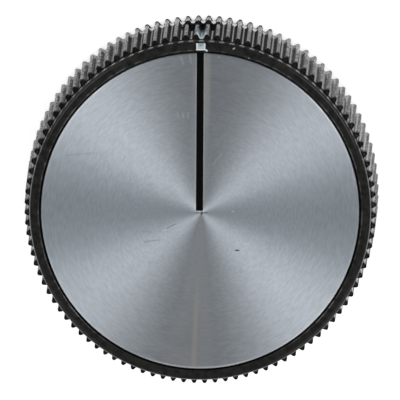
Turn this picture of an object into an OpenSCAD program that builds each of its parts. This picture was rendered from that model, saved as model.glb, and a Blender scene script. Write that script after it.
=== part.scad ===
// Large pointer knob: a black moulding with a finely toothed rim and a plain lip, a brushed aluminium
// face disc let into its front, a brass shaft bush in its hub and one grub screw.
// The knob lies face up: +Z leaves the face, +Y runs along the index line, and the origin is the centre
// of the back rim.

/* [Body] */
// Diameter across the tips of the teeth
rim_d = 60; // [48:1:80]
// Overall depth, from the back rim to the face of the lip
body_h = 27.5; // [22:0.5:36]
// Thickness of the rim wall, measured at the bottom of the teeth
rim_wall = 2.8; // [2:0.1:4]
// Thickness of the web behind the face disc
web_t = 2.2; // [1.5:0.1:4]
// Height of the bevel on the back edges of the rim
back_bevel = 0.25; // [0.1:0.05:0.5]

/* [Teeth] */
// Number of teeth round the rim, a multiple of four
teeth = 104; // [80:4:120]
// Height of a tooth, from valley floor to tip
tooth_h = 0.82; // [0.5:0.01:0.9]
// Angle between the two flanks of a tooth
tooth_angle = 53; // [45:1:70]
// Radius of the rounded tip of a tooth
tip_r = 0.34; // [0.15:0.01:0.36]
// Length of the small bevel where a flank meets the valley floor
root_bevel = 0.07; // [0.03:0.01:0.1]
// Facets on the rounded tip of a tooth
tip_steps = 6; // [4:2:8]

/* [Lip] */
// Drop from the valley floors of the teeth to the plain neck of the lip
neck_drop = 0.03; // [0.02:0.01:0.5]
// Height of the plain neck between the front ends of the teeth and the face of the lip
neck_h = 2.65; // [1.5:0.05:4]
// Width of the lip round the face disc
lip_w = 1.74; // [1.4:0.02:3]
// Radius that rounds the outer edge of the lip
lip_round = 0.65; // [0.2:0.01:0.8]
// Radius that rounds the inner edge of the lip
lip_inner_round = 0.18; // [0.05:0.01:0.2]

/* [Face disc] */
// Thickness of the aluminium face disc
disc_t = 0.9; // [0.6:0.1:1.5]
// Bevel round the front edge of the face disc
disc_bevel = 0.2; // [0.05:0.05:0.3]
// Gap all round between the face disc and the lip
disc_gap = 0.26; // [0.1:0.01:0.5]
// How far the face disc lies below the lip
disc_sink = 0.05; // [0:0.01:0.3]
// Thickness of the adhesive film under the face disc
film_t = 0.15; // [0.1:0.05:0.3]
// Margin left free of film at the edge of the face disc
film_margin = 1.5; // [0.5:0.1:4]

/* [Index line and mark] */
// Width of the black index line
line_w = 1.2; // [0.6:0.02:2]
// Depth of the groove that holds the index line
line_depth = 0.3; // [0.2:0.05:0.4]
// How far the index line lies to the left of the knob's centre
line_shift = 0.12; // [0:0.01:0.3]
// How far the index line runs on past the centre of the face disc
line_overrun = 0; // [0:0.1:5]
// Width of the white mark across the lip
mark_w = 1.56; // [1:0.02:3]
// How far the white mark lies to the left of the knob's centre
mark_shift = 0.05; // [0:0.01:0.3]
// Length of the white mark, from where the lip becomes flat towards its outer edge
mark_l = 1.22; // [0.8:0.02:1.4]
// Depth of the notch that holds the white mark
mark_depth = 0.32; // [0.2:0.02:0.5]
// How far the enamel in the groove and the notch stays below the surface
enamel_sink = 0.04; // [0.02:0.01:0.1]

/* [Hub] */
// Outer diameter of the hub
hub_d = 17; // [14:0.5:22]
// How far the hub stops short of the back rim
hub_recess = 1; // [0.5:0.1:3]
// Number of ribs between the hub and the rim
ribs = 4; // [4]
// Thickness of a rib
rib_t = 1.8; // [1.2:0.1:3]
// How far the ribs stop short of the back rim
rib_recess = 5; // [3:0.5:10]
// Bevel round the back end of the hub
hub_bevel = 0.4; // [0.2:0.1:1]
// Radius in the corner between the web and the walls of the hollow
hollow_r = 1; // [0.5:0.1:2]
// Draft of the walls of the hollow, in degrees
draft = 1; // [0.25:0.25:1.5]

/* [Bush and grub screw] */
// Diameter of the shaft that the knob fits
shaft_d = 6; // [5:0.1:7]
// Radial clearance between the shaft and the bore
shaft_gap = 0.06; // [0.05:0.01:0.1]
// Outer diameter of the brass bush
bush_d = 10.4; // [8.6:0.1:12.5]
// Length of the brass bush
bush_l = 16; // [12:0.5:18]
// Radial clearance of the pressed-in bush
bush_gap = 0.02; // [0.01:0.01:0.05]
// Bevel at the ends of the bush and at the mouth of its bore
bush_bevel = 0.4; // [0.2:0.1:0.6]
// Thread diameter of the grub screw
screw_d = 4; // [3:0.5:4]
// Length of the grub screw
screw_l = 5; // [4:0.5:6]
// Width across the flats of the grub screw's hexagon socket
key_af = 2; // [1.5:0.1:2]
// Radial clearance of the grub screw in the bush
thread_gap = 0.02; // [0.01:0.01:0.05]
// Radial clearance of the key's passage round the grub screw
passage_gap = 0.3; // [0.2:0.05:0.5]

/* [Hidden] */

// Circles are drawn with this many sides where the rebuilt surface is a true curve.
$fn = 96;
// A cut runs this far past the surface that it opens.
cut = 1;

tip_radius = rim_d / 2;
root_radius = tip_radius - tooth_h;
pitch_angle = 360 / teeth;
teeth_top = body_h - neck_h;

neck_radius = root_radius - neck_drop;
recess_radius = neck_radius - lip_w;
disc_radius = recess_radius - disc_gap;
disc_face = body_h - disc_sink;
disc_back = disc_face - disc_t;
recess_floor = disc_back - film_t;
flat_radius = recess_radius + lip_inner_round;
round_steps = 8;
inner_steps = 4;

hollow_top = recess_floor - web_t;
hollow_radius = root_radius - rim_wall;
hub_radius = hub_d / 2;
corner_steps = 4;

bore_radius = shaft_d / 2 + shaft_gap;
bush_radius = bush_d / 2;
bush_top = hub_recess + bush_l;
groove_depth = 0.3;
groove_h = 1.2;
screw_radius = screw_d / 2;
screw_z = hub_recess + bush_l / 2;
screw_tip = bore_radius + 0.1;
key_depth = screw_l * 0.4;
drill_slope = tan(31);
tip_cone = 0.5;
cup_radius = screw_radius / 2;
cup_depth = cup_radius * drill_slope;

// A point u to the right of the radius at angle a, at height v from the centre
function beside(a, u, v) = [v * sin(a) + u * cos(a), v * cos(a) - u * sin(a)];

// The right-hand half of one tooth, from its tip to the valley floor, as [across, height] pairs.
// The tip is an arc, the flank leaves it at a tangent, and a small bevel ends in the valley floor.
lean = tooth_angle / 2;
flank_u = tip_r * cos(lean);
flank_v = tip_radius - tip_r + tip_r * sin(lean);
flank_l = (flank_v - root_radius) / cos(lean);
half_tooth = [
    for (i = [1:tip_steps / 2])
        let (a = (90 - lean) * i / (tip_steps / 2))
        [tip_r * sin(a), tip_radius - tip_r + tip_r * cos(a)],
    [flank_u + (flank_l - root_bevel) * sin(lean), root_radius + root_bevel * cos(lean)],
    [flank_u + flank_l * sin(lean) + root_bevel, root_radius],
];
left_half = [for (i = [len(half_tooth) - 1:-1:0]) [-half_tooth[i][0], half_tooth[i][1]]];
tooth = concat(left_half, [[0, tip_radius]], half_tooth);

// The whole rim: the teeth stand at half pitches, so that a valley lies on the index line
rim_outline = [
    for (k = [0:teeth - 1]) for (p = tooth) beside((k + 0.5) * pitch_angle, p[0], p[1])
];

// Corner points of a quarter round of radius r about the centre c, from angle a0 to a1
function arc(c, r, a0, a1, steps) =
    [for (i = [0:steps]) let (a = a0 + (a1 - a0) * i / steps) [c[0] + r * cos(a), c[1] + r * sin(a)]];

// The neck and lip as a solid of revolution with a rounded outer edge
module lip_blank() {
    rotate_extrude()
        polygon(concat(
            [[0, hollow_top], [neck_radius, hollow_top]],
            arc([neck_radius - lip_round, body_h - lip_round], lip_round, 0, 90, round_steps),
            [[0, body_h]]
        ));
}

// The toothed rim, with a bevel round the back edge that cuts only the tips of the teeth
module toothed_blank() {
    difference() {
        linear_extrude(teeth_top) polygon(rim_outline);
        rotate_extrude()
            polygon([
                [tip_radius - back_bevel, -cut],
                [tip_radius + cut, -cut],
                [tip_radius + cut, back_bevel + cut],
                [tip_radius - back_bevel, 0],
            ]);
    }
}

// The seat for the face disc, widened at its mouth by the rounded inner edge of the lip
module disc_recess() {
    rotate_extrude()
        polygon(concat(
            [[0, recess_floor], [recess_radius, recess_floor]],
            arc([flat_radius, body_h - lip_inner_round], lip_inner_round, 180, 90, inner_steps),
            [[flat_radius, body_h + cut], [0, body_h + cut]]
        ));
}

// The annular hollow between hub and rim narrows by its draft, with a bevelled mouth and rounded corners
// under the web
module hollow() {
    narrowing = tan(draft);
    outer = hollow_radius - hollow_top * narrowing - hollow_r;
    inner = hub_radius + hollow_top * narrowing + hollow_r;
    rotate_extrude()
        polygon(concat(
            [
                [hub_radius - cut * narrowing, -cut],
                [hollow_radius + back_bevel + cut, -cut],
                [hollow_radius - back_bevel * narrowing, back_bevel],
            ],
            arc([outer, hollow_top - hollow_r], hollow_r, 0, 90, corner_steps),
            arc([inner, hollow_top - hollow_r], hollow_r, 90, 180, corner_steps)
        ));
}

// What is cut away behind the hub, down to its bevelled back end
module hub_clearance() {
    rotate_extrude()
        polygon([
            [0, -cut],
            [hub_radius + cut, -cut],
            [hub_radius + cut, hub_recess + hub_bevel + cut],
            [hub_radius - hub_bevel, hub_recess],
            [0, hub_recess],
        ]);
}

// The ribs stand on the diagonals, from inside the hub to inside the rim wall
module rib_set() {
    span = (hub_radius + hollow_radius) / 2;
    reach = hollow_radius - hub_radius + rim_wall;
    for (k = [0:ribs - 1])
        rotate(360 / ribs * (k + 0.5))
            translate([span - reach / 2, -rib_t / 2, rib_recess])
                cube([reach, rib_t, hollow_top + web_t / 2 - rib_recess]);
}

// A cylinder that leaves the axis towards -Y at the height of the grub screw
module radial_pin(r, from, to) {
    translate([0, -from, screw_z]) rotate([90, 0, 0]) cylinder(h = to - from, r = r);
}

// The strip of the lip that the white mark takes up, from the radius start to the end of the mark
module mark_strip(start) {
    translate([-mark_shift - mark_w / 2, start, body_h - mark_depth])
        cube([mark_w, flat_radius + mark_l - start, mark_depth + cut]);
}

module knob_body() {
    color("#242424")
        difference() {
            union() {
                difference() {
                    union() {
                        toothed_blank();
                        lip_blank();
                    }
                    hollow();
                }
                rib_set();
            }
            disc_recess();
            hub_clearance();
            translate([0, 0, -cut]) cylinder(h = bush_top + cut, r = bush_radius + bush_gap);
            radial_pin(screw_radius + passage_gap, bore_radius, tip_radius + cut);
            mark_strip(recess_radius - cut);
        }
}

module disc_blank() {
    rotate_extrude()
        polygon([
            [0, disc_back],
            [disc_radius, disc_back],
            [disc_radius, disc_face - disc_bevel],
            [disc_radius - disc_bevel, disc_face],
            [0, disc_face],
        ]);
}

// The strip of the face disc that the index line takes up, from its groove's floor to the height top
module line_strip(top) {
    translate([-line_shift - line_w / 2, -line_overrun, disc_face - line_depth])
        cube([line_w, tip_radius + line_overrun, top - disc_face + line_depth]);
}

module face_disc() {
    color("#a6acb2")
        difference() {
            disc_blank();
            line_strip(disc_face + cut);
        }
}

module index_line() {
    color("#0b0b0b")
        intersection() {
            disc_blank();
            line_strip(disc_face - enamel_sink);
        }
}

// The white enamel follows the face of the lip, a little below it, on the flat and round the outer edge
module index_mark() {
    color("#dce6ea")
        intersection() {
            translate([0, 0, -enamel_sink]) lip_blank();
            mark_strip(flat_radius);
        }
}

module disc_film() {
    color("#d8cfa8")
        translate([0, 0, recess_floor]) cylinder(h = film_t, r = disc_radius - film_margin);
}

// A turned brass bush: bevelled ends, two retaining grooves, a plain bore and one tapped side hole
module shaft_bush() {
    module retaining_groove(z) {
        translate([0, 0, z - groove_h / 2])
            difference() {
                cylinder(h = groove_h, r = bush_radius + cut);
                translate([0, 0, -cut]) cylinder(h = groove_h + 2 * cut, r = bush_radius - groove_depth);
            }
    }
    color("#b8964a")
        difference() {
            rotate_extrude()
                polygon([
                    [bore_radius + bush_bevel, hub_recess],
                    [bush_radius - bush_bevel, hub_recess],
                    [bush_radius, hub_recess + bush_bevel],
                    [bush_radius, bush_top - bush_bevel],
                    [bush_radius - bush_bevel, bush_top],
                    [bore_radius, bush_top],
                    [bore_radius, hub_recess + bush_bevel],
                ]);
            for (side = [-1, 1]) retaining_groove(screw_z + side * bush_l / 3.2);
            radial_pin(screw_radius + thread_gap, 0, bush_radius + cut);
        }
}

// The hexagon socket, with a drilled cone at its bottom and a countersunk mouth
module key_socket() {
    key_radius = key_af / 2;
    corner_radius = key_radius / cos(30);
    cone_h = key_radius * drill_slope;
    cylinder(h = key_depth + cut, r = corner_radius, $fn = 6);
    translate([0, 0, -cone_h]) cylinder(h = cone_h, r1 = 0, r2 = key_radius);
    translate([0, 0, key_depth - (corner_radius - key_radius)])
        cylinder(h = corner_radius, r1 = key_radius, r2 = key_radius + corner_radius);
}

// The grub screw points at the shaft, with a hollow cup point and a socket in its outer end
module grub_screw() {
    color("#4a4c50")
        translate([0, -screw_tip, screw_z])
            rotate([90, 0, 0])
                difference() {
                    rotate_extrude()
                        polygon([
                            [0, cup_depth],
                            [cup_radius, 0],
                            [screw_radius - tip_cone, 0],
                            [screw_radius, tip_cone],
                            [screw_radius, screw_l],
                            [0, screw_l],
                        ]);
                    translate([0, 0, screw_l - key_depth]) key_socket();
                }
}

knob_body();
face_disc();
index_line();
index_mark();
disc_film();
shaft_bush();
grub_screw();
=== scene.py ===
import math

import bmesh
import bpy
from bpy.props import FloatProperty, FloatVectorProperty, PointerProperty
from mathutils import Matrix, Vector


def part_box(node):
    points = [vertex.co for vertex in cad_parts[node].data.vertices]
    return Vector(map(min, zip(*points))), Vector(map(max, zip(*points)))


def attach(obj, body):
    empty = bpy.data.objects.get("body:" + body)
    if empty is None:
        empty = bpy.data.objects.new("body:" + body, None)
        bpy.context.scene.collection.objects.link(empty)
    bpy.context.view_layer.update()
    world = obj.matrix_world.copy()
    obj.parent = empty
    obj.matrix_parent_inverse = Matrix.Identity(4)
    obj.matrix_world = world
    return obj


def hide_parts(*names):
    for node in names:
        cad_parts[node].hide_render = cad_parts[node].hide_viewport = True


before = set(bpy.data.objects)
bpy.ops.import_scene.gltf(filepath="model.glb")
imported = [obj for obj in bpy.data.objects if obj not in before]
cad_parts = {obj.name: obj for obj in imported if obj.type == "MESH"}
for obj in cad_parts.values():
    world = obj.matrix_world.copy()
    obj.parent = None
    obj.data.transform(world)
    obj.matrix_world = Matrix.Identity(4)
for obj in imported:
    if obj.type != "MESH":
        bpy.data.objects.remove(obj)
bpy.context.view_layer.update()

bl_info = {
    "name": "Toothed Control Knob",
    "version": (1, 0, 0),
    "blender": (4, 5, 0),
    "location": "View3D > Sidebar > Knob",
    "description": "Finishes the pieces of a packed control knob and sets up their studio",
    "category": "Add Mesh",
}

# One millimetre, in metres
MM = 0.001

# Number of teeth round the rim
TEETH = 104

# Points of a CAD node closer than this are one point, and faces flatter than this angle are one face
SAME_POINT = 0.001 * MM
SAME_FACE = math.radians(0.6)

# Direction of each softbox, in degrees clockwise from the index mark, and its power in watts
SOFTBOXES = ((62, 6.25), (142, 3.85), (185, 0.45), (224.5, 2.5), (302, 5.45))

# Sizes of the studio, in metres
FLOOR_SIZE = 4.0
CAMERA_DISTANCE = 0.3

# ---------------------------------------------------------------- sizes that come from the frame


def corners(node):
    """The corners of a CAD node, in metres."""
    return [vertex.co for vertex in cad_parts[node].data.vertices]


BODY_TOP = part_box("knob_body")[1].z
DISC_LOW, DISC_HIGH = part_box("face_disc")
LINE_LOW, LINE_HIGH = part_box("index_line")
MARK_LOW, MARK_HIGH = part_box("index_mark")
SCREW_LOW, SCREW_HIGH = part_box("grub_screw")

DISC_RADIUS = DISC_HIGH.x
TIP_RADIUS = max(corner.xy.length for corner in corners("knob_body"))
LIP_RADIUS = max(corner.xy.length for corner in corners("knob_body") if corner.z > BODY_TOP - 1 * MM)
TEETH_FRONT = max(corner.z for corner in corners("knob_body") if corner.xy.length > LIP_RADIUS + 0.2 * MM)


# ---------------------------------------------------------------- handling of objects


def pick_nothing():
    """Deselects every object, so that the next operator acts only on what it adds."""
    bpy.ops.object.select_all(action="DESELECT")


def pick_only(piece):
    """Makes one object the selected and active one."""
    pick_nothing()
    piece.select_set(True)
    bpy.context.view_layer.objects.active = piece


def start_edit(piece, action="DESELECT"):
    """Opens a piece in edit mode, with all or nothing of its mesh selected."""
    pick_only(piece)
    bpy.ops.object.mode_set(mode="EDIT")
    bpy.ops.mesh.select_all(action=action)


def end_edit():
    """Goes back to object mode."""
    bpy.ops.object.mode_set(mode="OBJECT")


def settle():
    """Puts the place, turn and scale of the selected piece into its mesh."""
    bpy.ops.object.transform_apply(location=True, rotation=True, scale=True)


def select_faces(piece, wanted):
    """Selects the faces for which wanted(centre, normal) is true, in edit mode."""
    bpy.ops.mesh.select_mode(type="FACE")
    mesh = bmesh.from_edit_mesh(piece.data)
    for face in mesh.faces:
        face.select_set(wanted(face.calc_center_median(), face.normal))
    bmesh.update_edit_mesh(piece.data)


def select_edges(piece, wanted):
    """Selects the edges for which wanted(end, other end) is true, in edit mode."""
    bpy.ops.mesh.select_mode(type="EDGE")
    mesh = bmesh.from_edit_mesh(piece.data)
    for edge in mesh.edges:
        edge.select_set(wanted(edge.verts[0].co, edge.verts[1].co))
    mesh.select_flush_mode()
    bmesh.update_edit_mesh(piece.data)


def apply_modifier(piece, kind, **settings):
    """Adds one modifier to a piece and applies it."""
    modifier = piece.modifiers.new(kind.title(), kind)
    for name, value in settings.items():
        setattr(modifier, name, value)
    pick_only(piece)
    bpy.ops.object.modifier_apply(modifier=modifier.name)


def round_edges(piece, width, angle):
    """Rounds the edges that turn by more than an angle, in degrees."""
    apply_modifier(
        piece,
        "BEVEL",
        width=width,
        segments=2,
        limit_method="ANGLE",
        angle_limit=math.radians(angle),
        use_clamp_overlap=True,
    )


def shade_flats_flat(piece):
    """Lets the large faces rule the shading, so that only the rounded edges look round."""
    apply_modifier(piece, "WEIGHTED_NORMAL", keep_sharp=True)


def cut_away(piece, cutter):
    """Cuts one mesh out of another and removes the cutter."""
    apply_modifier(piece, "BOOLEAN", operation="DIFFERENCE", solver="EXACT", object=cutter)
    bpy.data.objects.remove(cutter)


def merged_copy(node, name):
    """A piece with the shape of a CAD node: its loose triangles joined, and flat faces made whole."""
    piece = bpy.data.objects.new(name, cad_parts[node].data.copy())
    bpy.context.collection.objects.link(piece)
    piece.data.name = name
    piece.data.materials.clear()
    pick_only(piece)
    bpy.ops.mesh.customdata_custom_splitnormals_clear()
    start_edit(piece, "SELECT")
    bpy.ops.mesh.remove_doubles(threshold=SAME_POINT)
    bpy.ops.mesh.dissolve_limited(angle_limit=SAME_FACE)
    end_edit()
    return piece


def finish_piece(piece, material, node, smooth_angle=35.0):
    """Turns a piece's faces outwards, smooths it, and hands it to the frame in place of a CAD node."""
    pick_only(piece)
    settle()
    start_edit(piece, "SELECT")
    bpy.ops.mesh.normals_make_consistent(inside=False)
    end_edit()
    bpy.ops.object.shade_smooth_by_angle(angle=math.radians(smooth_angle))
    piece.data.materials.clear()
    piece.data.materials.append(material)
    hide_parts(node)
    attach(piece, "root")


# ---------------------------------------------------------------- handling of materials


class Recipe:
    """The node tree of one material or world, with short ways to add and join nodes."""

    def __init__(self, owner):
        owner.use_nodes = True
        self.tree = owner.node_tree
        self.tree.nodes.clear()

    def add(self, kind, inputs=None, **settings):
        """Adds a shader node. An input is a number, a colour or another node's output."""
        node = self.tree.nodes.new("ShaderNode" + kind)
        for name, value in settings.items():
            setattr(node, name, value)
        for name, value in (inputs or {}).items():
            self.feed(node.inputs[name], value)
        return node

    def feed(self, socket, value):
        """Links another node's output to a socket, or sets the socket's own value."""
        if isinstance(value, bpy.types.NodeSocket):
            self.tree.links.new(value, socket)
        else:
            socket.default_value = value

    # Numbers

    def maths(self, operation, first, second=0.0, third=0.0):
        """One Math node; the third number is for MULTIPLY_ADD."""
        node = self.add("Math", {0: first, 1: second}, operation=operation)
        if operation == "MULTIPLY_ADD":
            self.feed(node.inputs[2], third)
        return node.outputs[0]

    def times(self, *factors):
        """The product of numbers."""
        product = factors[0]
        for factor in factors[1:]:
            product = self.maths("MULTIPLY", product, factor)
        return product

    def most(self, *values):
        """The largest of numbers."""
        largest = values[0]
        for value in values[1:]:
            largest = self.maths("MAXIMUM", largest, value)
        return largest

    def size_of(self, value):
        """A number without its sign."""
        return self.maths("ABSOLUTE", value)

    def rest_of(self, share):
        """What a share leaves of 1."""
        return self.maths("SUBTRACT", 1.0, share)

    def lerp(self, share, first, second):
        """A number between two numbers."""
        node = self.add("Mix", data_type="FLOAT")
        self.feed(node.inputs[0], share)
        self.feed(node.inputs[2], first)
        self.feed(node.inputs[3], second)
        return node.outputs[0]

    def ramp(self, value, low, high, start=0.0, end=1.0):
        """A smooth step of value from start at low to end at high."""
        node = self.add(
            "MapRange",
            {"Value": value, "From Min": low, "From Max": high, "To Min": start, "To Max": end},
            interpolation_type="SMOOTHSTEP",
        )
        return node.outputs["Result"]

    def fall(self, value, low, high):
        """1 below low, falling to 0 at high."""
        return self.ramp(value, low, high, 1.0, 0.0)

    def band(self, value, low, high, soft):
        """1 between low and high, falling to 0 over the width soft at either end."""
        return self.times(self.ramp(value, low - soft, low), self.fall(value, high, high + soft))

    # Colours

    def blend(self, share, first, second):
        """A colour between two colours."""
        node = self.add("Mix", data_type="RGBA")
        self.feed(node.inputs["Factor"], share)
        self.feed(node.inputs["A"], first)
        self.feed(node.inputs["B"], second)
        return node.outputs["Result"]

    # Places, in millimetres

    def vectors(self, operation, first, second=None):
        """One Vector Math node; a length and a dot product are numbers."""
        inputs = {0: first} if second is None else {0: first, 1: second}
        node = self.add("VectorMath", inputs, operation=operation)
        return node.outputs["Value" if operation in ("LENGTH", "DOT_PRODUCT") else "Vector"]

    def scaled(self, vector, factor):
        """A vector times a number."""
        return self.add("VectorMath", {0: vector, "Scale": factor}, operation="SCALE").outputs[0]

    def place(self, stretch=(1.0, 1.0, 1.0)):
        """Object coordinates in millimetres, stretched along each axis."""
        coordinates = self.add("TexCoord").outputs["Object"]
        scale = tuple(share / MM for share in stretch)
        return self.add("Mapping", {"Vector": coordinates, "Scale": scale}).outputs[0]

    def apart(self, vector):
        """The three numbers of a vector."""
        node = self.add("SeparateXYZ", {0: vector})
        return node.outputs[0], node.outputs[1], node.outputs[2]

    def together(self, x, y, z):
        """A vector of three numbers."""
        return self.add("CombineXYZ", {0: x, 1: y, 2: z}).outputs[0]

    def radius(self, vector):
        """Distance of a place from the knob's axis."""
        x, y, _ = self.apart(vector)
        return self.vectors("LENGTH", self.together(x, y, 0.0))

    def noise(self, vector, scale, detail=2.0, roughness=0.5):
        """Soft noise from 0 to 1, with scale features to a millimetre."""
        inputs = {"Vector": vector, "Scale": scale, "Detail": detail, "Roughness": roughness}
        return self.add("TexNoise", inputs).outputs[0]

    def spot(self, vector, centre, half_width, half_height, soft=0.5):
        """1 inside an oval round a point of the face, falling to 0 at its rim."""
        offset = self.vectors("SUBTRACT", vector, (*centre, 0.0))
        scale = (1 / half_width, 1 / half_height, 0.0)
        away = self.vectors("LENGTH", self.vectors("MULTIPLY", offset, scale))
        return self.fall(away, 1.0 - soft, 1.0)

    def stroke(self, vector, start, end, width, soft):
        """1 on a straight stroke across the face, falling to 0 beside it."""
        line = Vector((*end, 0.0)) - Vector((*start, 0.0))
        forward = line.normalized()
        aside = Vector((-forward.y, forward.x, 0.0))
        offset = self.vectors("SUBTRACT", vector, (*start, 0.0))
        along = self.vectors("DOT_PRODUCT", offset, forward)
        across = self.vectors("DOT_PRODUCT", offset, aside)
        lengthwise = self.band(along, 0.0, line.length, soft)
        return self.times(lengthwise, self.band(across, -width / 2, width / 2, soft))

    # Surfaces

    def bump(self, height, strength, depth):
        """A normal bent by a height, where 1 stands for a depth in millimetres."""
        inputs = {"Height": height, "Strength": strength, "Distance": depth * MM}
        return self.add("Bump", inputs).outputs[0]

    def lean_forward(self, normal, share):
        """A normal turned by a share towards the knob's front, which darkens a surface seen at a grazing
        angle.
        """
        forward = self.together(0.0, 0.0, share)
        both = self.vectors("ADD", self.scaled(normal, self.rest_of(share)), forward)
        return self.vectors("NORMALIZE", both)

    def surface(self, inputs):
        """Ends the recipe in one Principled surface."""
        shader = self.add("BsdfPrincipled", inputs)
        self.add("OutputMaterial", {"Surface": shader.outputs[0]})


def shade(value):
    """A grey."""
    return (value, value, value, 1.0)


def rgba(colour, factor=1.0):
    """A colour without alpha, times a factor, as a shader takes it."""
    return (*(factor * part for part in colour), 1.0)


# ---------------------------------------------------------------- settings


class KnobSettings(bpy.types.PropertyGroup):
    """Small sizes and colours of the knob"""

    edge_width: FloatProperty(
        name="Edge width",
        description="Width of the small round on the moulding's sharp edges",
        default=0.035 * MM,
        min=0.0,
        unit="LENGTH",
    )
    moulding_colour: FloatVectorProperty(
        name="Moulding colour",
        description="Colour of the black moulding",
        default=(0.012, 0.0122, 0.0112),
        size=3,
        min=0.0,
        max=1.0,
        subtype="COLOR",
    )
    disc_edge: FloatProperty(
        name="Disc edge",
        description="Bevel round the front of the face disc",
        default=0.14 * MM,
        min=0.0,
        unit="LENGTH",
    )
    groove_edge: FloatProperty(
        name="Groove edge",
        description="Bevel along the engraved groove of the index line",
        default=0.05 * MM,
        min=0.0,
        unit="LENGTH",
    )
    disc_colour: FloatVectorProperty(
        name="Disc colour",
        description="Colour of the brushed aluminium",
        default=(0.424, 0.46, 0.499),
        size=3,
        min=0.0,
        max=1.0,
        subtype="COLOR",
    )
    enamel_rim: FloatProperty(
        name="Enamel rim",
        description="Width of the raised rim of the enamel where it climbs the walls of its groove",
        default=0.06 * MM,
        min=0.0,
        unit="LENGTH",
    )
    enamel_sag: FloatProperty(
        name="Enamel sag",
        description="Depth of the enamel's middle below its rim",
        default=0.02 * MM,
        min=0.0,
        unit="LENGTH",
    )
    line_colour: FloatVectorProperty(
        name="Line colour",
        description="Colour of the enamel in the index line",
        default=(0.005, 0.005, 0.005),
        size=3,
        min=0.0,
        max=1.0,
        subtype="COLOR",
    )
    mark_colour: FloatVectorProperty(
        name="Mark colour",
        description="Colour of the enamel in the index mark",
        default=(0.72, 0.83, 0.87),
        size=3,
        min=0.0,
        max=1.0,
        subtype="COLOR",
    )
    bush_edge: FloatProperty(
        name="Bush edge",
        description="Width of the small round on the brass bush's edges",
        default=0.04 * MM,
        min=0.0,
        unit="LENGTH",
    )
    brass_colour: FloatVectorProperty(
        name="Brass colour",
        description="Colour of the turned brass bush",
        default=(0.60, 0.40, 0.13),
        size=3,
        min=0.0,
        max=1.0,
        subtype="COLOR",
    )
    thread_pitch: FloatProperty(
        name="Thread pitch",
        description="Distance between two turns of the grub screw's thread",
        default=0.7 * MM,
        min=0.3 * MM,
        unit="LENGTH",
    )


class StudioSettings(bpy.types.PropertyGroup):
    """Camera, softboxes and floor"""

    tilt: FloatProperty(
        name="Camera tilt",
        description="Angle of the camera from the knob's axis towards the index mark",
        default=math.radians(7.6),
        subtype="ANGLE",
    )
    side_tilt: FloatProperty(
        name="Camera side tilt",
        description="Angle of the camera from the knob's axis towards the right",
        default=math.radians(0.9),
        subtype="ANGLE",
    )
    roll: FloatProperty(
        name="Camera roll",
        description="Turn of the camera about its own axis",
        default=math.radians(0.35),
        subtype="ANGLE",
    )
    aim_left: FloatProperty(
        name="Aim left",
        description="Distance of the camera's aim to the left of the centre of the lip's face",
        default=0.029 * MM,
        unit="LENGTH",
    )
    aim_above: FloatProperty(
        name="Aim above",
        description="Distance of the camera's aim above the centre of the lip's face",
        default=1.8443 * MM,
        unit="LENGTH",
    )
    view_width: FloatProperty(
        name="View width",
        description="Width that the camera takes in",
        default=68.18 * MM,
        min=10 * MM,
        unit="LENGTH",
    )
    softbox_distance: FloatProperty(
        name="Softbox distance",
        description="Distance of each softbox from the knob",
        default=1.5,
        min=0.5,
        unit="LENGTH",
    )
    softbox_lean: FloatProperty(
        name="Softbox lean",
        description="Angle of each softbox from the knob's axis",
        default=math.radians(35),
        subtype="ANGLE",
    )
    softbox_width: FloatProperty(
        name="Softbox width",
        description="Width of each softbox, across its direction from the knob",
        default=0.56,
        min=0.1,
        unit="LENGTH",
    )
    softbox_height: FloatProperty(
        name="Softbox height",
        description="Height of each softbox, away from the knob's axis",
        default=1.0,
        min=0.1,
        unit="LENGTH",
    )
    paper_glow: FloatProperty(
        name="Paper glow",
        description="Light that the white floor adds where it is seen, so that it shows as white",
        default=0.7,
        min=0.0,
    )


# ---------------------------------------------------------------- black moulding


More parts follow.
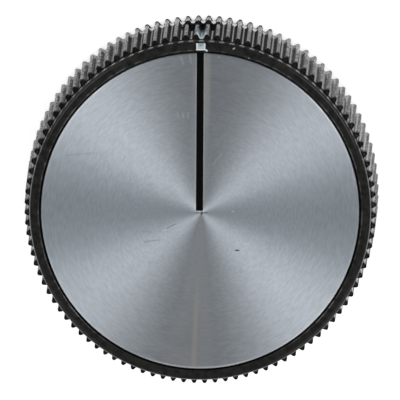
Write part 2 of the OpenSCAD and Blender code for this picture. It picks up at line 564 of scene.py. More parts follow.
class MouldingPlaces:
    """Places on the black moulding. A mask is 1 at the place that it is named for and 0 elsewhere."""

    def __init__(self, recipe):
        self.place = recipe.place()
        self.x, self.y, self.z = recipe.apart(self.place)
        self.reach = recipe.radius(self.place)
        self.mottling = recipe.ramp(recipe.noise(self.place, 1.1, 4.0), 0.3, 0.7)
        self.streaks = recipe.noise(recipe.place((3.0, 3.0, 0.7)), 1.0, 3.0)
        self.find_sides(recipe)
        self.find_lip(recipe)
        self.find_teeth(recipe)
        self.find_rear(recipe)

    def find_sides(self, recipe):
        """Sides of the knob, as seen from its face."""
        self.near_mark = recipe.ramp(self.y, 24.5, 28.8)
        self.towards_mark = recipe.ramp(self.y, 0.0, 20.0)
        self.beside = recipe.most(
            recipe.ramp(self.x, 16.0, 25.0),
            recipe.ramp(self.x, -29.0, -25.0, 0.5, 0.0),
        )
        self.diagonal = recipe.ramp(recipe.size_of(recipe.times(self.x, self.y)), 250.0, 380.0)

    def find_lip(self, recipe):
        """The lip, from its joint with the disc to its outer edge."""
        face = BODY_TOP / MM
        disc = DISC_RADIUS / MM
        side = LIP_RADIUS / MM
        self.lip = recipe.ramp(self.z, face - 1.3, face - 1.0)
        # Dirt and painted shade on the lip's inner wall in its joint with the disc, fainter towards the
        # mark.
        self.joint = recipe.times(
            self.lip,
            recipe.fall(self.reach, disc + 0.32, disc + 0.36),
            recipe.ramp(self.y, 21.0, 26.0, 1.0, 0.4),
        )
        self.inner_edge = recipe.times(self.lip, recipe.fall(self.reach, disc + 0.47, disc + 0.51))
        # Painted highlight along the lip's inner edge, in patches, none at the bottom.
        self.painted_edge_highlight = recipe.times(
            self.lip,
            recipe.fall(self.reach, disc + 0.53, disc + 0.61),
            self.mottling,
            recipe.ramp(recipe.noise(self.place, 0.3, 2.0), 0.4, 0.55),
            recipe.ramp(self.y, -24.0, -18.0),
        )
        self.shoulder = recipe.times(self.lip, recipe.ramp(self.reach, side - 0.59, side - 0.47))
        self.outer_edge = recipe.times(self.lip, recipe.ramp(self.reach, side - 0.25, side - 0.15))

    def find_teeth(self, recipe):
        """The teeth, from their valleys to their tips, and their front ends."""
        front = TEETH_FRONT / MM
        tip = TIP_RADIUS / MM
        side = LIP_RADIUS / MM
        # off_valley is 0 in the valleys and 0.5 on the teeth.
        turn = recipe.times(recipe.maths("ARCTAN2", self.x, self.y), TEETH / math.tau)
        nearest_valley = recipe.maths("ROUND", turn)
        self.off_valley = recipe.size_of(recipe.maths("SUBTRACT", turn, nearest_valley))
        self.toothed = recipe.fall(self.z, front - 0.12, front - 0.08)
        self.tips = recipe.times(self.toothed, recipe.ramp(self.reach, tip - 0.34, tip - 0.16))
        self.flank = recipe.band(self.reach, side + 0.3, side + 0.47, 0.06)
        roots = recipe.times(self.toothed, recipe.fall(self.reach, side + 0.04, side + 0.09))
        self.valley_line = recipe.times(roots, recipe.fall(self.off_valley, 0.04, 0.1))
        self.tooth_front = recipe.times(
            recipe.rest_of(self.toothed),
            recipe.ramp(self.off_valley, 0.3, 0.42),
            recipe.band(self.reach, side + 0.2, side + 0.45, 0.08),
            recipe.lerp(self.beside, 0.25, 1.0),
        )
        # Painted shade in the valleys and on the tips just behind the teeth's front ends: half at the
        # sides, none at the mark.
        self.shade_behind_front = recipe.times(
            self.toothed,
            recipe.ramp(self.z, front - 2.4, front - 0.8),
            recipe.ramp(self.near_mark, 0.3, 0.8, 0.45, 0.0),
            recipe.lerp(self.beside, 1.0, 0.5),
        )

    def find_rear(self, recipe):
        """The rear ends of the teeth: bright flanks at the mark, between dark lines."""
        side = LIP_RADIUS / MM
        at_mark = recipe.ramp(self.near_mark, 0.6, 0.95)
        self.rear = recipe.times(recipe.fall(self.z, 3.2, 5.2), recipe.lerp(self.near_mark, 0.5, 1.0))
        self.bright_rear = recipe.times(self.rear, at_mark, recipe.rest_of(self.tips))
        self.rear_lines = recipe.times(
            recipe.most(
                recipe.band(self.reach, side + 0.35, side + 0.51, 0.04),
                recipe.fall(self.z, 0.9, 1.3),
            ),
            self.bright_rear,
            recipe.ramp(self.reach, side + 0.04, side + 0.15),
        )
        self.rear_edge = recipe.times(
            recipe.fall(self.z, 1.6, 2.1),
            at_mark,
            recipe.ramp(self.reach, side + 0.03, side + 0.08),
            recipe.lerp(self.tips, 1.0, 0.45),
        )


def moulding_dark_patch(recipe, at):
    """A dark ragged patch across the teeth at the mark, shorter on the tips than in the valleys."""
    ragged = recipe.maths("MULTIPLY_ADD", at.mottling, 2.0, recipe.maths("SUBTRACT", at.z, 10.0))
    lengthwise = recipe.maths("DIVIDE", ragged, recipe.lerp(at.tips, 4.9, 2.9))
    sideways = recipe.maths("DIVIDE", recipe.maths("ADD", at.x, 0.35), 3.5)
    outline = recipe.maths(
        "ADD",
        recipe.maths("POWER", recipe.size_of(sideways), 4.0),
        recipe.maths("POWER", recipe.size_of(lengthwise), 2.0),
    )
    outline = recipe.maths("MULTIPLY_ADD", recipe.noise(at.place, 0.7, 3.0), 1.6, outline)
    return recipe.times(recipe.fall(outline, 1.55, 1.85), at.near_mark)


def old_enamel(recipe, at):
    """Enamel that ran into the valley behind the mark."""
    return recipe.times(
        recipe.band(at.x, -0.78, 0.78, 0.08),
        recipe.ramp(recipe.maths("ADD", at.z, at.mottling), 13.5, 15.5),
        recipe.ramp(at.reach, 28.2, 28.6),
        at.near_mark,
        at.toothed,
    )


def enamel_specks(recipe, at):
    """The run of enamel beside the mark and two faint specks on the lip."""
    run_out = recipe.stroke(at.place, (0.76, 27.66), (1.05, 27.47), 0.2, 0.12)
    specks = recipe.most(
        recipe.times(recipe.stroke(at.place, (5.45, 27.85), (5.7, 28.02), 0.1, 0.12), 0.5),
        recipe.times(recipe.spot(at.place, (8.13, 26.27), 0.14, 0.12), 0.5),
    )
    return run_out, specks


def enamel_colour(recipe, at, settings):
    """Dull grey where the old enamel is thin, and the mark's own colour where it is thick."""
    thin = recipe.blend(
        recipe.ramp(at.z, 13.5, 18.5),
        rgba((0.05, 0.06, 0.065)),
        rgba((0.27, 0.32, 0.35)),
    )
    thick = recipe.most(
        recipe.ramp(at.z, 20.3, 22.8),
        recipe.times(at.valley_line, recipe.ramp(at.z, 15.0, 19.0)),
    )
    return recipe.blend(thick, thin, rgba(settings.mark_colour))


def moulding_colour(recipe, at, settings, dirt_and_shade):
    """Mottled black, paler on worn tips, with a painted highlight on the lip's inner edge, and blacker
    under dirt and painted shade.
    """
    base = settings.moulding_colour
    colour = recipe.blend(at.mottling, rgba(base, 0.33), rgba(base, 1.33))
    worn = recipe.times(at.toothed, recipe.ramp(at.streaks, 0.48, 0.68), recipe.lerp(at.tips, 0.4, 1.0))
    colour = recipe.blend(worn, colour, shade(0.09))
    # Painted highlight on the lip's inner edge.
    colour = recipe.blend(at.painted_edge_highlight, colour, shade(0.09))
    colour = recipe.blend(at.tooth_front, colour, recipe.blend(at.mottling, shade(0.02), shade(0.07)))
    return recipe.blend(dirt_and_shade, colour, shade(0.003))


def moulding_roughness(recipe, at, matt):
    """Satin flanks with streaks, glossier tips and rear ends, matt front ends and a satin lip."""
    blotches = recipe.ramp(at.streaks, 0.35, 0.65, -0.15, 0.15)
    flanks = recipe.lerp(at.beside, recipe.lerp(at.near_mark, 0.5, 0.95), recipe.lerp(at.flank, 0.34, 0.06))
    tips = recipe.lerp(at.beside, recipe.ramp(at.z, 4.0, 15.0, 0.2, 0.38), 0.42)
    line = recipe.maths(
        "ADD",
        recipe.lerp(at.near_mark, 0.25, 0.32),
        recipe.ramp(at.x, -20.0, 0.0, 0.15, 0.0),
    )
    roughness = recipe.maths("ADD", flanks, blotches)
    roughness = recipe.lerp(at.tips, roughness, recipe.maths("ADD", tips, blotches))
    roughness = recipe.lerp(at.valley_line, roughness, line)
    roughness = recipe.lerp(at.rear, roughness, recipe.lerp(at.tips, 0.1, 0.3))
    roughness = recipe.lerp(at.toothed, 0.9, roughness)
    roughness = recipe.lerp(at.lip, roughness, recipe.lerp(at.mottling, 0.35, 0.6))
    return recipe.lerp(matt, roughness, 1.0)


def moulding_gloss(recipe, at, dirt_and_shade):
    """Thin light lines on the lip's edges, in dashes between the teeth at the top, and a glossy rear."""
    between_teeth = recipe.fall(at.off_valley, 0.2, 0.34)
    dashes = recipe.lerp(between_teeth, 0.1, recipe.lerp(at.near_mark, 1.0, 0.65))
    dashes = recipe.lerp(at.towards_mark, 1.0, dashes)
    return recipe.most(
        recipe.times(at.inner_edge, recipe.lerp(at.diagonal, 0.5, 1.0), recipe.lerp(at.mottling, 0.6, 1.3)),
        recipe.times(at.shoulder, recipe.lerp(at.diagonal, 0.05, 0.36)),
        recipe.times(at.outer_edge, dashes, recipe.lerp(at.diagonal, 0.95, 0.75)),
        recipe.times(at.bright_rear, recipe.rest_of(dirt_and_shade)),
    )


def black_moulding_material(settings):
    """Black moulding: worn tooth tips, a dark patch and old enamel in the teeth at the mark, painted shade
    behind the teeth's front ends and in the joint with the disc, a scuffed lip with a painted highlight on
    its inner edge.
    """
    material = bpy.data.materials.new("black_moulding")
    recipe = Recipe(material)
    at = MouldingPlaces(recipe)
    dark_patch = moulding_dark_patch(recipe, at)
    # Dirt and painted shade: the dark patch and dark lines at the mark, the joint with the disc, and
    # painted shade behind the teeth's front ends.
    dirt_and_shade = recipe.most(dark_patch, at.rear_lines, at.rear_edge, at.joint, at.shade_behind_front)
    daub = old_enamel(recipe, at)
    enamel = recipe.most(daub, *enamel_specks(recipe, at))
    colour = moulding_colour(recipe, at, settings, dirt_and_shade)
    grain = recipe.times(recipe.noise(at.place, 12.0, 3.0), 0.0008)
    height = recipe.maths("MULTIPLY_ADD", at.streaks, 0.025, grain)
    recipe.surface(
        {
            "Base Color": recipe.blend(enamel, colour, enamel_colour(recipe, at, settings)),
            "Roughness": moulding_roughness(recipe, at, recipe.most(dirt_and_shade, daub, at.outer_edge)),
            "Specular IOR Level": 0.15,
            "Coat Weight": moulding_gloss(recipe, at, dirt_and_shade),
            "Coat Roughness": 0.12,
            "Normal": recipe.lean_forward(recipe.bump(height, 1.0, 1.0), recipe.times(dirt_and_shade, 0.7)),
        }
    )
    return material


# ---------------------------------------------------------------- brushed disc


class DiscPlaces:
    """Places on the face disc, and the brushing that runs in rings about a point by its centre."""

    def __init__(self, recipe):
        self.place = recipe.place()
        self.x, self.y, _ = recipe.apart(self.place)
        self.reach = recipe.radius(self.place)
        from_brush = recipe.vectors("SUBTRACT", self.place, (0.21, -0.33, 0.0))
        brush_x, self.brush_y, _ = recipe.apart(from_brush)
        self.brush_reach = recipe.radius(from_brush)
        self.outward = recipe.vectors("NORMALIZE", recipe.together(brush_x, self.brush_y, 0.0))

    def rings(self, recipe, turn_scale, reach_scale, detail):
        """Noise drawn out along the rings."""
        across, up, _ = recipe.apart(recipe.scaled(self.outward, turn_scale))
        ring = recipe.times(self.brush_reach, reach_scale)
        return recipe.noise(recipe.together(across, up, ring), 1.0, detail, 0.65)


def disc_light_marks(recipe, at):
    """Short light strokes near the index line and beside the scratch."""
    return recipe.most(
        recipe.stroke(at.place, (-3.5, 26.5), (-3.0, 25.2), 0.15, 0.25),
        recipe.stroke(at.place, (-1.9, 26.9), (-1.65, 25.3), 0.15, 0.25),
        recipe.stroke(at.place, (-3.95, 16.8), (-3.8, 15.9), 0.1, 0.15),
        recipe.stroke(at.place, (-3.1, 16.7), (-2.95, 16.0), 0.1, 0.15),
        recipe.stroke(at.place, (-2.1, 16.9), (-2.1, 15.9), 0.1, 0.15),
        recipe.stroke(at.place, (2.3, 8.1), (2.75, 8.9), 0.1, 0.12),
        recipe.stroke(at.place, (-6.15, -3.45), (-4.1, -2.4), 0.08, 0.1),
    )


def disc_bright_specks(recipe, at):
    """Two bright specks: one right of the centre and one by the lip."""
    return recipe.most(
        recipe.spot(at.place, (5.6, -0.06), 0.32, 0.12),
        recipe.spot(at.place, (3.05, 26.4), 0.25, 0.18),
    )


def disc_warm_marks(recipe, at):
    """Faint warm streaks above and below the centre, and a small one by the index line."""
    above = recipe.stroke(at.place, (1.0, 15.0), (1.15, 27.0), 0.6, 0.5)
    below = recipe.stroke(at.place, (-0.3, -9.0), (-0.95, -26.9), 0.35, 0.45)
    small = recipe.stroke(at.place, (3.1, 8.9), (3.5, 9.7), 0.1, 0.15)
    return recipe.most(
        recipe.times(above, recipe.ramp(at.y, 15.0, 20.0, 0.5, 1.0)),
        recipe.times(below, recipe.fall(at.y, -20.0, -9.0)),
        recipe.times(small, 0.8),
    )


def disc_dark_marks(recipe, at):
    """Scratches, smears, a speck, the tick at the centre, and dirt and painted shade in the joint with the
    lip.
    """
    rim = DISC_RADIUS / MM
    scratch = recipe.stroke(at.place, (-5.65, -3.10), (-4.15, -2.33), 0.1, 0.08)
    faint_scratch = recipe.stroke(at.place, (-22.9, 9.35), (-18.0, 9.8), 0.2, 0.15)
    wander = recipe.noise(recipe.place((0.6, 0.6, 0.6)), 1.0)
    wavy = recipe.vectors("ADD", at.place, recipe.together(0.0, wander, 0.0))
    smear = recipe.most(
        recipe.stroke(wavy, (-9.5, -4.8), (-6.9, -4.5), 0.14, 0.18),
        recipe.times(recipe.stroke(wavy, (-9.8, -3.4), (-8.2, -3.2), 0.1, 0.2), 0.5),
    )
    speck = recipe.spot(at.place, (6.35, -6.75), 0.55, 0.18)
    tick = recipe.most(
        recipe.spot(at.place, (0.3, -0.4), 0.3, 0.36),
        recipe.times(recipe.stroke(at.place, (-0.75, -0.36), (1.25, -0.3), 0.08, 0.1), 0.6),
    )
    # A dark line at the disc's edge: painted shade in the joint with the lip, partly dirt; fainter towards
    # the mark.
    joint = recipe.times(
        recipe.ramp(at.reach, rim - 0.09, rim - 0.05),
        recipe.ramp(at.y, 21.0, 26.0, 1.0, 0.4),
    )
    return recipe.most(
        recipe.times(scratch, 0.6),
        recipe.times(smear, 0.3),
        speck,
        recipe.times(tick, 0.9),
        joint,
        recipe.times(faint_scratch, 0.11),
    )


def line_edge_highlight(recipe, at):
    """A painted highlight along both edges of the index line, with a fainter one fading out beside it."""
    middle = (LINE_LOW.x + LINE_HIGH.x) / 2 / MM
    half_width = (LINE_HIGH.x - LINE_LOW.x) / 2 / MM
    line_end = LINE_LOW.y / MM
    aside = recipe.size_of(recipe.maths("SUBTRACT", at.x, middle))
    return recipe.times(
        recipe.most(
            recipe.fall(aside, half_width + 0.2, half_width + 0.3),
            recipe.ramp(aside, half_width + 0.5, half_width + 1.2, 0.25, 0.0),
        ),
        recipe.ramp(at.y, line_end - 0.3, line_end - 0.1),
    )


def brushed_colour(recipe, at, settings, fine):
    """Grey of the brushed metal: painted cooler in the dim sectors at the sides, with soft clouds and a
    painted highlight streak at the bottom.
    """
    base = settings.disc_colour
    # Painted shade tint: the dim sectors at the sides take a cooler copy of the metal's colour.
    dim_sector_tint = (0.96 * base[0], base[1], 1.012 * base[2])
    grain = recipe.ramp(fine, 0.3, 0.7)
    plain = recipe.blend(grain, rgba(base, 0.9), rgba(base, 1.1))
    dim_sector_colour = recipe.blend(grain, rgba(dim_sector_tint, 0.9), rgba(dim_sector_tint, 1.1))
    outward_x, _, _ = recipe.apart(at.outward)
    colour = recipe.blend(recipe.ramp(recipe.size_of(outward_x), 0.88, 0.98), plain, dim_sector_colour)
    cloud = recipe.noise(at.place, 0.22, 3.0)
    colour = recipe.blend(recipe.times(cloud, 0.25), colour, rgba(base, 0.88))
    # Painted highlight: a pale radial streak at the bottom.
    towards_bottom = recipe.vectors("DOT_PRODUCT", at.outward, (-0.07, -0.998, 0.0))
    bottom_streak_highlight = recipe.ramp(towards_bottom, 0.98, 0.998)
    return recipe.blend(recipe.times(bottom_streak_highlight, 0.3), colour, rgba((0.6, 0.62, 0.64)))


def brushed_disc_material(settings):
    """Aluminium brushed in rings about a point close to the centre, with handling marks."""
    material = bpy.data.materials.new("brushed_aluminium")
    recipe = Recipe(material)
    at = DiscPlaces(recipe)
    fine = at.rings(recipe, 15.0, 3.4, 3.0)
    broad = at.rings(recipe, 3.0, 0.6, 2.0)
    # Light strokes, and the painted highlight along the index line.
    light = recipe.most(disc_light_marks(recipe, at), recipe.times(line_edge_highlight(recipe, at), 1.6))
    colour = brushed_colour(recipe, at, settings, fine)
    for mask, share, tone in (
        (disc_warm_marks(recipe, at), 0.6, (0.62, 0.62, 0.57)),
        (light, 0.28, (0.85, 0.87, 0.88)),
        (disc_bright_specks(recipe, at), 0.5, (0.9, 0.9, 0.9)),
    ):
        colour = recipe.blend(recipe.times(mask, share), colour, rgba(tone))
    colour = recipe.blend(disc_dark_marks(recipe, at), colour, rgba((0.08, 0.09, 0.10)))

    # The rim is burnished all round and carries a painted highlight, strongest at its bottom, faint at its
    # sides and absent at its top.
    rim = DISC_RADIUS / MM
    burnish_and_highlight = recipe.ramp(at.reach, rim - 0.4, rim - 0.3)
    painted_rim_highlight = recipe.times(
        burnish_and_highlight,
        recipe.fall(at.brush_y, 20.0, 26.0),
        recipe.ramp(at.brush_y, -27.0, -24.0, 1.0, 0.18),
    )
    roughness = recipe.maths(
        "ADD",
        recipe.ramp(at.brush_reach, 0.0, 27.0, 0.52, 0.4),
        recipe.ramp(broad, 0.2, 0.8, -0.04, 0.04),
    )
    recipe.surface(
        {
            "Base Color": recipe.blend(painted_rim_highlight, colour, rgba((0.95, 0.98, 1.0))),
            "Metallic": 1.0,
            "Roughness": recipe.lerp(burnish_and_highlight, roughness, 0.35),
            "Anisotropic": 0.85,
            "Tangent": at.outward,
            "Normal": recipe.bump(fine, 0.06, 0.01),
        }
    )
    return material


# ---------------------------------------------------------------- enamel, brass, steel and film


def line_enamel_material(settings):
    """Matt black enamel, a little cloudy."""
    material = bpy.data.materials.new("black_enamel")
    recipe = Recipe(material)
    cloud = recipe.noise(recipe.place(), 2.0, 3.0)
    colour = settings.line_colour
    recipe.surface(
        {
            "Base Color": recipe.blend(cloud, rgba(colour, 0.7), rgba(colour)),
            "Roughness": recipe.lerp(cloud, 0.7, 0.85),
            "Specular IOR Level": 0.02,
            "Normal": recipe.bump(cloud, 0.2, 0.01),
        }
    )
    return material


def mark_enamel_material(settings):
    """White enamel laid on by hand: thicker and whiter along its edges, thin and bluish in the middle."""
    material = bpy.data.materials.new("white_enamel")
    recipe = Recipe(material)
    place = recipe.place()
    cloud = recipe.noise(place, 2.4, 3.0)
    wander = recipe.noise(place, 1.6, 2.0)
    x, y, _ = recipe.apart(place)
    middle = (MARK_LOW.x + MARK_HIGH.x) / 2 / MM
    half_width = (MARK_HIGH.x - MARK_LOW.x) / 2 / MM
    low = MARK_LOW.y / MM

    wavy_x = recipe.maths("MULTIPLY_ADD", wander, 0.3, recipe.maths("SUBTRACT", x, 0.15))
    aside = recipe.size_of(recipe.maths("SUBTRACT", wavy_x, middle))
    thick = recipe.most(
        recipe.ramp(aside, half_width - 0.35, half_width - 0.1),
        recipe.fall(y, low + 0.1, low + 0.3),
    )
    bare = recipe.spot(place, (-0.12, 28.45), 0.28, 0.3, 0.8)
    thin_top = recipe.times(recipe.ramp(y, 28.0, 28.6), 0.5)
    base = settings.mark_colour
    colour = recipe.blend(cloud, rgba(base, 0.66), rgba(base, 0.759))
    colour = recipe.blend(recipe.most(bare, thin_top), colour, rgba((0.17, 0.26, 0.29)))
    recipe.surface(
        {
            "Base Color": recipe.blend(thick, colour, rgba((0.86, 0.91, 0.93))),
            "Roughness": 0.45,
            "Specular IOR Level": 0.3,
            "Normal": recipe.bump(cloud, 0.3, 0.02),
        }
    )
    return material


def turned_brass_material(settings):
    """Brass with turning rings and a little tarnish."""
    material = bpy.data.materials.new("turned_brass")
    recipe = Recipe(material)
    place = recipe.place()
    _, _, height = recipe.apart(place)
    rings = recipe.noise(recipe.together(recipe.radius(place), 0.0, height), 9.0, 3.0)
    tarnish = recipe.noise(place, 0.5, 4.0)
    colour = settings.brass_colour
    recipe.surface(
        {
            "Base Color": recipe.blend(tarnish, rgba(colour), rgba(colour, 0.7)),
            "Metallic": 1.0,
            "Roughness": recipe.lerp(tarnish, 0.25, 0.42),
            "Normal": recipe.bump(rings, 0.25, 0.02),
        }
    )
    return material


def blackened_steel_material(settings):
    """Blackened steel with the ridges of a rolled thread round the screw's axis."""
    material = bpy.data.materials.new("blackened_steel")
    recipe = Recipe(material)
    place = recipe.place()
    stain = recipe.noise(place, 1.5, 4.0)
    x, y, z = recipe.apart(place)
    axis_height = (SCREW_LOW.z + SCREW_HIGH.z) / 2 / MM
    turn = recipe.maths("ARCTAN2", x, recipe.maths("SUBTRACT", z, axis_height))
    phase = recipe.maths("MULTIPLY_ADD", y, math.tau * MM / settings.thread_pitch, turn)
    thread = recipe.maths("SINE", phase)
    height = recipe.maths("MULTIPLY_ADD", recipe.noise(place, 10.0, 2.0), 0.2, thread)
    recipe.surface(
        {
            "Base Color": recipe.blend(stain, shade(0.035), shade(0.075)),
            "Metallic": 1.0,
            "Roughness": recipe.lerp(stain, 0.35, 0.55),
            "Normal": recipe.bump(height, 0.8, 0.15),
        }
    )
    return material


def film_material():
    """Cloudy amber double-sided film."""
    material = bpy.data.materials.new("adhesive_film")
    recipe = Recipe(material)
    cloud = recipe.noise(recipe.place(), 0.8, 4.0)
    recipe.surface(
        {
            "Base Color": recipe.blend(cloud, rgba((0.62, 0.50, 0.26)), rgba((0.72, 0.62, 0.38))),
            "Roughness": recipe.lerp(cloud, 0.4, 0.6),
            "Normal": recipe.bump(cloud, 0.2, 0.02),
        }
    )
    return material


# ---------------------------------------------------------------- operators


class KNOB_OT_moulding(bpy.types.Operator):
    """Makes the toothed moulding with softened edges"""

    bl_idname = "knob.moulding"
    bl_label = "Moulding"

    def execute(self, context):
        settings = context.scene.knob
        piece = merged_copy("knob_body", "toothed_moulding")
        round_edges(piece, settings.edge_width, 22)
        finish_piece(piece, black_moulding_material(settings), "knob_body")
        shade_flats_flat(piece)
        return {"FINISHED"}


class KNOB_OT_face_disc(bpy.types.Operator):
    """Makes the brushed face disc with its engraved groove"""

    bl_idname = "knob.face_disc"
    bl_label = "Face disc"

    def execute(self, context):
        settings = context.scene.knob
        piece = self.make_disc(settings)
        cut_away(piece, self.make_groove_cutter())
        self.bevel_groove(piece, settings)
        finish_piece(piece, brushed_disc_material(settings), "face_disc", 30)
        shade_flats_flat(piece)
        return {"FINISHED"}

    def on_front(self, a, b):
        """Whether an edge lies in the disc's front."""
        return min(a.z, b.z) > DISC_HIGH.z - 0.01 * MM

    def make_disc(self, settings):
        """A flat disc with a rounded bevel round its front."""
        thickness = DISC_HIGH.z - DISC_LOW.z
        pick_nothing()
        bpy.ops.mesh.primitive_cylinder_add(
            vertices=256,
            radius=DISC_RADIUS,
            depth=thickness,
            location=(0, 0, DISC_LOW.z + thickness / 2),
        )
        piece = bpy.context.active_object
        piece.name = piece.data.name = "brushed_disc"
        settle()
        start_edit(piece)
        select_edges(piece, self.on_front)
        bpy.ops.mesh.bevel(offset=settings.disc_edge, segments=6, affect="EDGES")
        end_edit()
        return piece

    def make_groove_cutter(self):
        """A bar as wide as the index line, from the floor of its groove and its inner end outwards."""
        overhang = 1 * MM
        width, length, _ = LINE_HIGH - LINE_LOW
        middle = Vector((LINE_LOW.x + LINE_HIGH.x, LINE_LOW.y + LINE_HIGH.y + overhang, 0)) / 2
        pick_nothing()
        bpy.ops.mesh.primitive_cube_add(size=1, location=(middle.x, middle.y, LINE_LOW.z + overhang / 2))
        cutter = bpy.context.active_object
        cutter.scale = (width, length + overhang, overhang)
        settle()
        return cutter

    def bevel_groove(self, piece, settings):
        """Breaks the long edges of the groove."""
        inside = DISC_RADIUS - 2 * settings.disc_edge
        longest_facet = 0.3 * MM

        def beside_groove(a, b):
            is_inside = ((a + b) / 2).xy.length < inside
            return self.on_front(a, b) and is_inside and (a - b).length > longest_facet

        start_edit(piece)
        select_edges(piece, beside_groove)
        bpy.ops.mesh.bevel(offset=settings.groove_edge, segments=2, affect="EDGES")
        end_edit()


class KNOB_OT_enamel(bpy.types.Operator):
    """Makes the enamel of the index line and of the index mark"""

    bl_idname = "knob.enamel"
    bl_label = "Index enamel"

    def execute(self, context):
        settings = context.scene.knob
        for node, name, slot, make_material in (
            ("index_line", "index_line_enamel", "black_enamel", line_enamel_material),
            ("index_mark", "index_mark_enamel", "white_enamel", mark_enamel_material),
        ):
            piece = merged_copy(node, name)
            start_edit(piece)
            select_faces(piece, lambda centre, normal: normal.z > 0.3)
            bpy.ops.mesh.inset(thickness=settings.enamel_rim)
            bpy.ops.transform.translate(value=(0, 0, -settings.enamel_sag))
            end_edit()
            finish_piece(piece, make_material(settings), node, 50)
        return {"FINISHED"}


class KNOB_OT_bush(bpy.types.Operator):
    """Makes the turned brass bush"""

    bl_idname = "knob.bush"
    bl_label = "Shaft bush"

    def execute(self, context):
        settings = context.scene.knob
        piece = merged_copy("shaft_bush", "brass_bush")
        round_edges(piece, settings.bush_edge, 30)
        finish_piece(piece, turned_brass_material(settings), "shaft_bush")
        shade_flats_flat(piece)
        return {"FINISHED"}


class KNOB_OT_grub_screw(bpy.types.Operator):
    """Makes the grub screw"""

    bl_idname = "knob.grub_screw"
    bl_label = "Grub screw"

    def execute(self, context):
        piece = merged_copy("grub_screw", "socket_screw")
        material = blackened_steel_material(context.scene.knob)
        finish_piece(piece, material, "grub_screw")
        return {"FINISHED"}


class KNOB_OT_film(bpy.types.Operator):
    """Gives the adhesive film under the disc its finish"""

    bl_idname = "knob.film"
    bl_label = "Adhesive film"

    def execute(self, context):
        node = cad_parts["disc_film"]
        node.data.materials.clear()
        node.data.materials.append(film_material())
        return {"FINISHED"}


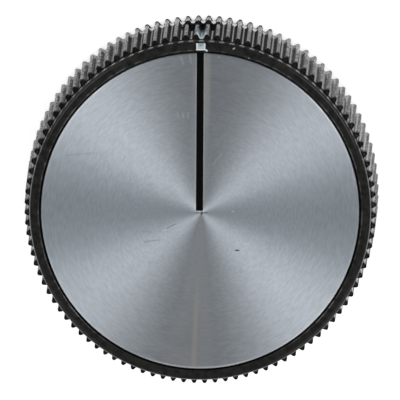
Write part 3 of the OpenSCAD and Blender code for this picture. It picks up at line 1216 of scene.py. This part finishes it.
class KNOB_OT_studio(bpy.types.Operator):
    """Makes the floor, the lights and the camera"""

    bl_idname = "knob.studio"
    bl_label = "Studio"

    def execute(self, context):
        settings = context.scene.knob_studio
        self.make_floor(settings)
        self.make_world()
        self.make_softboxes(settings)
        self.make_camera(settings)
        context.scene.view_settings.view_transform = "Standard"
        return {"FINISHED"}

    def make_floor(self, settings):
        """A sheet of white paper that adds light of its own where it is seen."""
        pick_nothing()
        bpy.ops.mesh.primitive_plane_add(size=FLOOR_SIZE)
        floor = bpy.context.active_object
        floor.name = "studio_floor"
        material = bpy.data.materials.new("studio_floor")
        recipe = Recipe(material)
        rays = recipe.add("LightPath").outputs
        seen = recipe.most(rays["Is Camera Ray"], rays["Is Glossy Ray"], rays["Is Transmission Ray"])
        # Paper that the knob covers adds no light.
        uncovered = recipe.ramp(recipe.radius(recipe.place()), 26.0, 29.0)
        strength = recipe.times(seen, uncovered, settings.paper_glow)
        paper = recipe.add("BsdfDiffuse", {"Color": shade(0.8)})
        glow = recipe.add("Emission", {"Color": shade(1.0), "Strength": strength})
        both = recipe.add("AddShader", {0: paper.outputs[0], 1: glow.outputs[0]})
        recipe.add("OutputMaterial", {"Surface": both.outputs[0]})
        floor.data.materials.append(material)

    def make_world(self):
        """A room that is bright near the floor and dim overhead."""
        world = bpy.data.worlds.new("studio")
        bpy.context.scene.world = world
        recipe = Recipe(world)
        _, _, height = recipe.apart(recipe.add("TexCoord").outputs["Generated"])
        light = recipe.ramp(height, 0.05, 0.35, 1.0, 0.09)
        background = recipe.add("Background", {"Color": shade(1.0), "Strength": light})
        recipe.add("OutputWorld", {"Surface": background.outputs[0]})

    def make_softboxes(self, settings):
        """Upright softboxes round the knob, each turned towards it."""
        lean = settings.softbox_lean
        for index, (direction, power) in enumerate(SOFTBOXES):
            angle = math.radians(direction)
            away = Vector((math.sin(angle), math.cos(angle), 0)) * math.sin(lean)
            away.z = math.cos(lean)
            pick_nothing()
            bpy.ops.object.light_add(type="AREA", location=away * settings.softbox_distance)
            lamp = bpy.context.active_object
            lamp.name = f"softbox_{index + 1}"
            lamp.rotation_mode = "QUATERNION"
            lamp.rotation_quaternion = away.to_track_quat("Z", "Y")
            lamp.data.shape = "RECTANGLE"
            lamp.data.size = settings.softbox_width
            lamp.data.size_y = settings.softbox_height
            lamp.data.energy = power

    def make_camera(self, settings):
        """A camera without perspective that looks down on the face from close to the knob's axis."""
        back = Vector((math.sin(settings.side_tilt), math.sin(settings.tilt), 0))
        back.z = math.sqrt(1 - back.length_squared)
        right = Vector((0, 1, 0)).cross(back).normalized()
        up = back.cross(right)
        turn = Matrix((right, up, back)).transposed() @ Matrix.Rotation(settings.roll, 3, "Z")
        aim = Vector((0, 0, BODY_TOP)) - right * settings.aim_left + up * settings.aim_above
        pick_nothing()
        bpy.ops.object.camera_add(location=aim + back * CAMERA_DISTANCE)
        camera = bpy.context.active_object
        camera.name = "studio_camera"
        camera.rotation_mode = "QUATERNION"
        camera.rotation_quaternion = turn.to_quaternion()
        camera.data.type = "ORTHO"
        camera.data.ortho_scale = settings.view_width
        camera.data.clip_start = 0.01
        camera.data.clip_end = FLOOR_SIZE
        bpy.context.scene.camera = camera


# ---------------------------------------------------------------- panel and registration


OPERATORS = (
    KNOB_OT_moulding,
    KNOB_OT_face_disc,
    KNOB_OT_enamel,
    KNOB_OT_bush,
    KNOB_OT_grub_screw,
    KNOB_OT_film,
    KNOB_OT_studio,
)


class KNOB_PT_sidebar(bpy.types.Panel):
    """Lists the settings and the steps that make the knob"""

    bl_idname = "KNOB_PT_sidebar"
    bl_label = "Control Knob"
    bl_space_type = "VIEW_3D"
    bl_region_type = "UI"
    bl_category = "Knob"

    def draw(self, context):
        for group in (context.scene.knob, context.scene.knob_studio):
            box = self.layout.box()
            for name in group.__annotations__:
                box.prop(group, name)
        for operator in OPERATORS:
            self.layout.operator(operator.bl_idname)


CLASSES = (KnobSettings, StudioSettings, *OPERATORS, KNOB_PT_sidebar)


def register():
    """Adds the classes and their settings to Blender."""
    for cls in CLASSES:
        bpy.utils.register_class(cls)
    bpy.types.Scene.knob = PointerProperty(type=KnobSettings)
    bpy.types.Scene.knob_studio = PointerProperty(type=StudioSettings)


def unregister():
    """Takes the settings and the classes out of Blender again."""
    del bpy.types.Scene.knob_studio
    del bpy.types.Scene.knob
    for cls in reversed(CLASSES):
        bpy.utils.unregister_class(cls)


def main():
    """Makes every piece and the studio."""
    register()
    bpy.ops.knob.moulding()
    bpy.ops.knob.face_disc()
    bpy.ops.knob.enamel()
    bpy.ops.knob.bush()
    bpy.ops.knob.grub_screw()
    bpy.ops.knob.film()
    bpy.ops.knob.studio()


if __name__ == "__main__":
    main()
